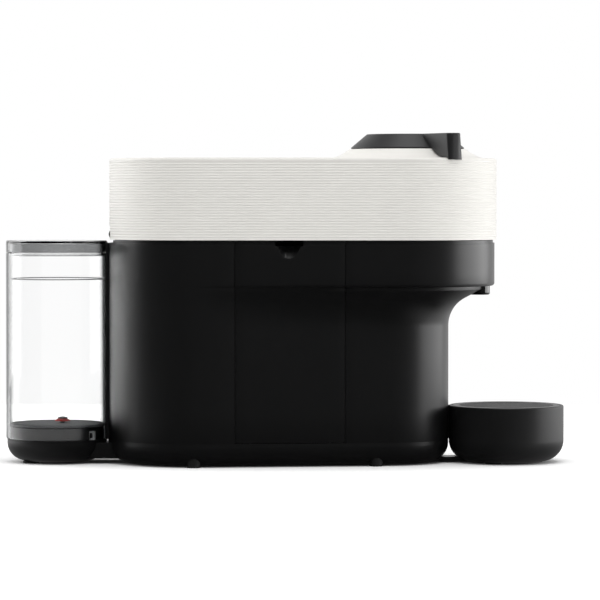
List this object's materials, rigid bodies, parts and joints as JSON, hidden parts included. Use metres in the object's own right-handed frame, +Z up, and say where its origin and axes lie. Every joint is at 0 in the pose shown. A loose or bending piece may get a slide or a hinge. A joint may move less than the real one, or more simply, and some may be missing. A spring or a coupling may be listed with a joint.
{
  "type": "pod coffee machine",
  "caption": "Slim worktop pod coffee machine: ribbed hinged head with a turning lever, side capsule bin, rear water tank, brewing drum and round cup stand.",
  "frame": {"origin": "on the table, under the middle of the machine's box", "axes": "+X to the cup end, +Y to the far side from the capsule bin's panel, +Z up"},
  "size_m": [0.426, 0.136, 0.25],
  "materials": {
    "black_plastic": "satin moulded black plastic",
    "black_gloss": "polished black plastic",
    "white_plastic": "fine ribbed white plastic",
    "grey_plastic": "plain dark grey plastic",
    "lever_plastic": "fine matt charcoal plastic",
    "clear_plastic": "clear smoked plastic",
    "light_guide": "milky light guide",
    "black_rubber": "soft black rubber",
    "red_rubber": "soft red seal",
    "silicone": "milky hose",
    "green_board": "coated circuit board",
    "steel": "plain bright steel",
    "motor_metal": "drawn metal can",
    "cast_aluminium": "plain casting"
  },
  "bodies": {
    "base": {"base_pan": "black_plastic", "body_shell": "black_plastic", "deck_plate": "black_plastic", "rubber_feet": "black_rubber", "tank_dock": "black_plastic", "dock_seal": "black_rubber", "dock_clip": "white_plastic", "hinge_pin": "steel", "bulkhead": "grey_plastic", "pump": "steel", "pump_mounts": "black_rubber", "heater": "cast_aluminium", "flow_meter": "grey_plastic", "control_board": "green_board", "suction_hose": "silicone", "feed_hose": "silicone", "pressure_hose": "silicone", "brew_hose": "silicone", "motor": "motor_metal", "motor_frame": "grey_plastic", "frame_screws": "steel", "drum_bearing": "steel", "coffee_collector": "grey_plastic", "outlet_spout": "black_gloss", "cord_gland": "black_rubber"},
    "drum": {"capsule_drum": "grey_plastic", "drive_shaft": "steel"},
    "head": {"head_sleeve": "white_plastic", "head_cover": "white_plastic", "head_liner": "grey_plastic", "clamp_bearing": "steel", "injector_body": "grey_plastic", "injector_needle": "steel", "injector_seal": "silicone", "head_hose": "silicone", "button_bezel": "lever_plastic", "light_ring": "light_guide", "button_board": "green_board"},
    "clamp": {"clamp_disc": "grey_plastic", "clamp_clip": "steel"},
    "lever": {"lever": "lever_plastic", "lever_retainer": "grey_plastic"},
    "button": {"start_button": "lever_plastic"},
    "tank": {"water_tank": "clear_plastic"},
    "valve": {"valve_seal": "red_rubber", "valve_poppet": "black_plastic"},
    "lid": {"tank_lid": "black_plastic"},
    "bin": {"bin_panel": "black_plastic", "capsule_bin": "grey_plastic"},
    "stand": {"cup_stand": "black_plastic", "stand_feet": "black_rubber"},
    "grid": {"drip_grid": "black_plastic"}
  },
  "joints": [
    {"name": "head_hinge", "type": "hinge", "parent": "base", "child": "head", "pos_m": [-0.13, 0, 0.174], "axis": [0, -1, 0], "range_deg": [0, 40]},
    {"name": "lever_turn", "type": "hinge", "parent": "head", "child": "lever", "pos_m": [0.0935, 0, 0.244], "axis": [0, 0, 1], "range_deg": [0, 61]},
    {"name": "button_press", "type": "slide", "parent": "head", "child": "button", "axis": [0, 0, -1], "range_m": [0, 0.0015], "stiffness_N_per_m": 400, "springref_m": -0.0005},
    {"name": "drum_spin", "type": "hinge", "parent": "base", "child": "drum", "pos_m": [0.0935, 0, 0.121], "axis": [0, 0, 1], "continuous": true},
    {"name": "clamp_spin", "type": "hinge", "parent": "head", "child": "clamp", "pos_m": [0.0935, 0, 0.178], "axis": [0, 0, 1], "continuous": true},
    {"name": "tank_lift", "type": "slide", "parent": "base", "child": "tank", "axis": [0, 0, -1], "range_m": [-0.06, 0]},
    {"name": "valve_travel", "type": "slide", "parent": "tank", "child": "valve", "axis": [0, 0, -1], "range_m": [0, 0.0012]},
    {"name": "lid_lift", "type": "slide", "parent": "tank", "child": "lid", "axis": [0, 0, -1], "range_m": [-0.05, 0]},
    {"name": "bin_slide", "type": "slide", "parent": "base", "child": "bin", "axis": [0, -1, 0], "range_m": [0, 0.105]},
    {"name": "stand_pull", "type": "slide", "parent": "base", "child": "stand", "axis": [1, 0, 0], "range_m": [0, 0.08]},
    {"name": "grid_lift", "type": "slide", "parent": "stand", "child": "grid", "axis": [0, 0, 1], "range_m": [0, 0.03]}
  ],
  "couplings": [
    {"joint": "clamp_spin", "follows": "drum_spin", "ratio": 1},
    {"joint": "valve_travel", "follows": "tank_lift", "ratio": -0.02}
  ]
}
